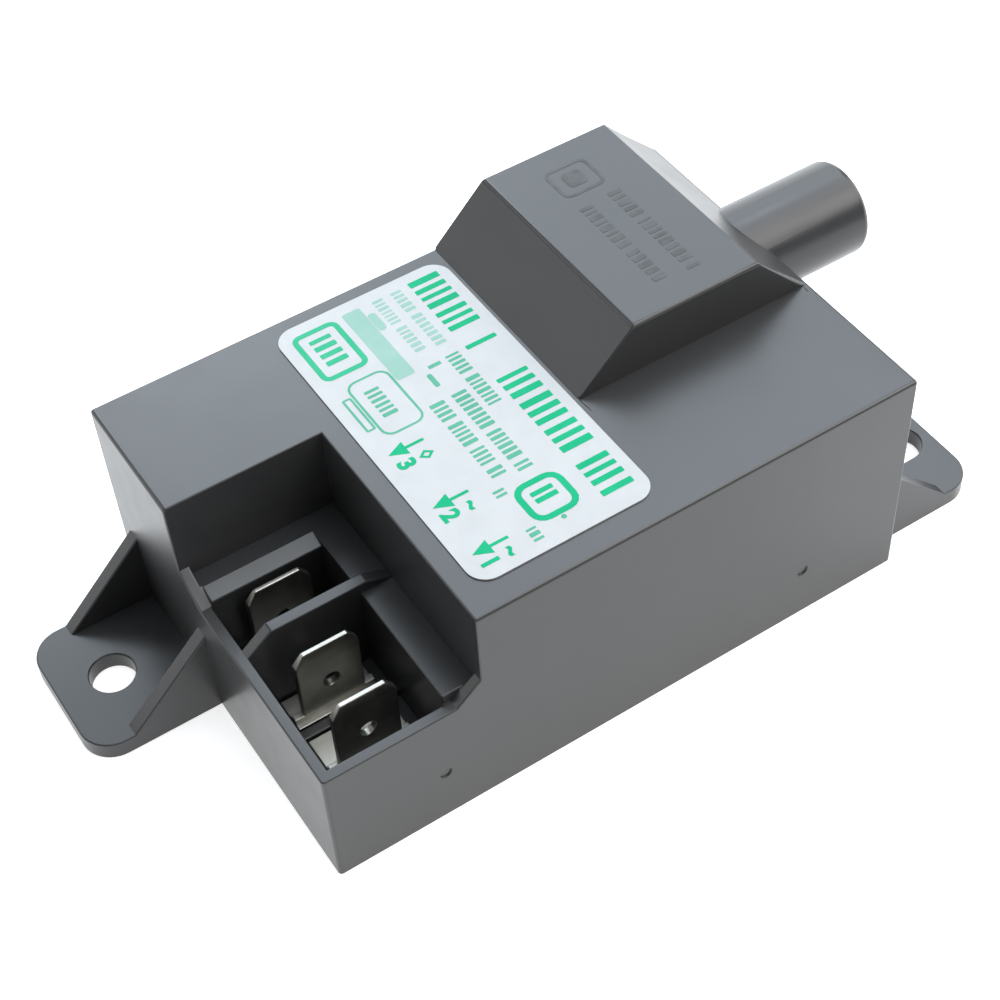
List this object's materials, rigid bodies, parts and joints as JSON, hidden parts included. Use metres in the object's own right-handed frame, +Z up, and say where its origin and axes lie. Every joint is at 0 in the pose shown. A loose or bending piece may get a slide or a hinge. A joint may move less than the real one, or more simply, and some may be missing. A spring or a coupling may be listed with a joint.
{
  "type": "ignition transformer",
  "caption": "Potted electronic ignition transformer in a black moulded body with recessed push-on tabs, a raised coil block, a high-voltage socket and two mounting ears.",
  "frame": {"origin": "centre of the body's rectangular footprint, on the mounting plane (underside of the rim and of both ears)", "axes": "+X towards the high-voltage socket, +Y towards the long side under the raised coil block, +Z up from the mounting plane; the terminal recess is in the -X -Y corner"},
  "size_m": [0.0876, 0.0398, 0.0308],
  "materials": {
    "body_plastic": "black moulded thermoplastic, semi-gloss",
    "label_film": "white printed film with green marks",
    "tinned_tab": "tin-plated brass strip",
    "contact_brass": "turned brass",
    "compound": "dark cast potting compound",
    "board": "glass-fibre laminate",
    "capacitor_case": "dipped resin coat",
    "suppressor_case": "moulded case",
    "varistor_coat": "dipped resin coat",
    "resistor_coat": "cement coat",
    "diode_body": "moulded epoxy",
    "package": "moulded epoxy",
    "small_resistor_coat": "lacquer",
    "solder": "tin solder",
    "ferrite": "sintered ferrite",
    "former_plastic": "moulded polyester",
    "copper_wire": "enamelled copper wire",
    "bobbin_plastic": "moulded polyester",
    "fine_wire": "fine enamelled copper wire",
    "lead_sleeve": "insulating sleeve"
  },
  "bodies": {
    "root": {"housing": "body_plastic", "label": "label_film", "terminal_1": "tinned_tab", "terminal_2": "tinned_tab", "terminal_3": "tinned_tab", "hv_contact_pin": "contact_brass", "potting_compound": "compound", "circuit_board": "board", "discharge_capacitor": "capacitor_case", "suppression_capacitor": "suppressor_case", "varistor": "varistor_coat", "charging_resistor": "resistor_coat", "rectifier_diode": "diode_body", "trigger_diode": "diode_body", "thyristor": "package", "gate_resistor": "small_resistor_coat", "solder_joints": "solder", "ferrite_core": "ferrite", "primary_former": "former_plastic", "primary_winding": "copper_wire", "primary_leads": "copper_wire", "secondary_bobbin": "bobbin_plastic", "secondary_winding": "fine_wire", "return_lead": "copper_wire", "hv_lead": "lead_sleeve"}
  },
  "joints": []
}
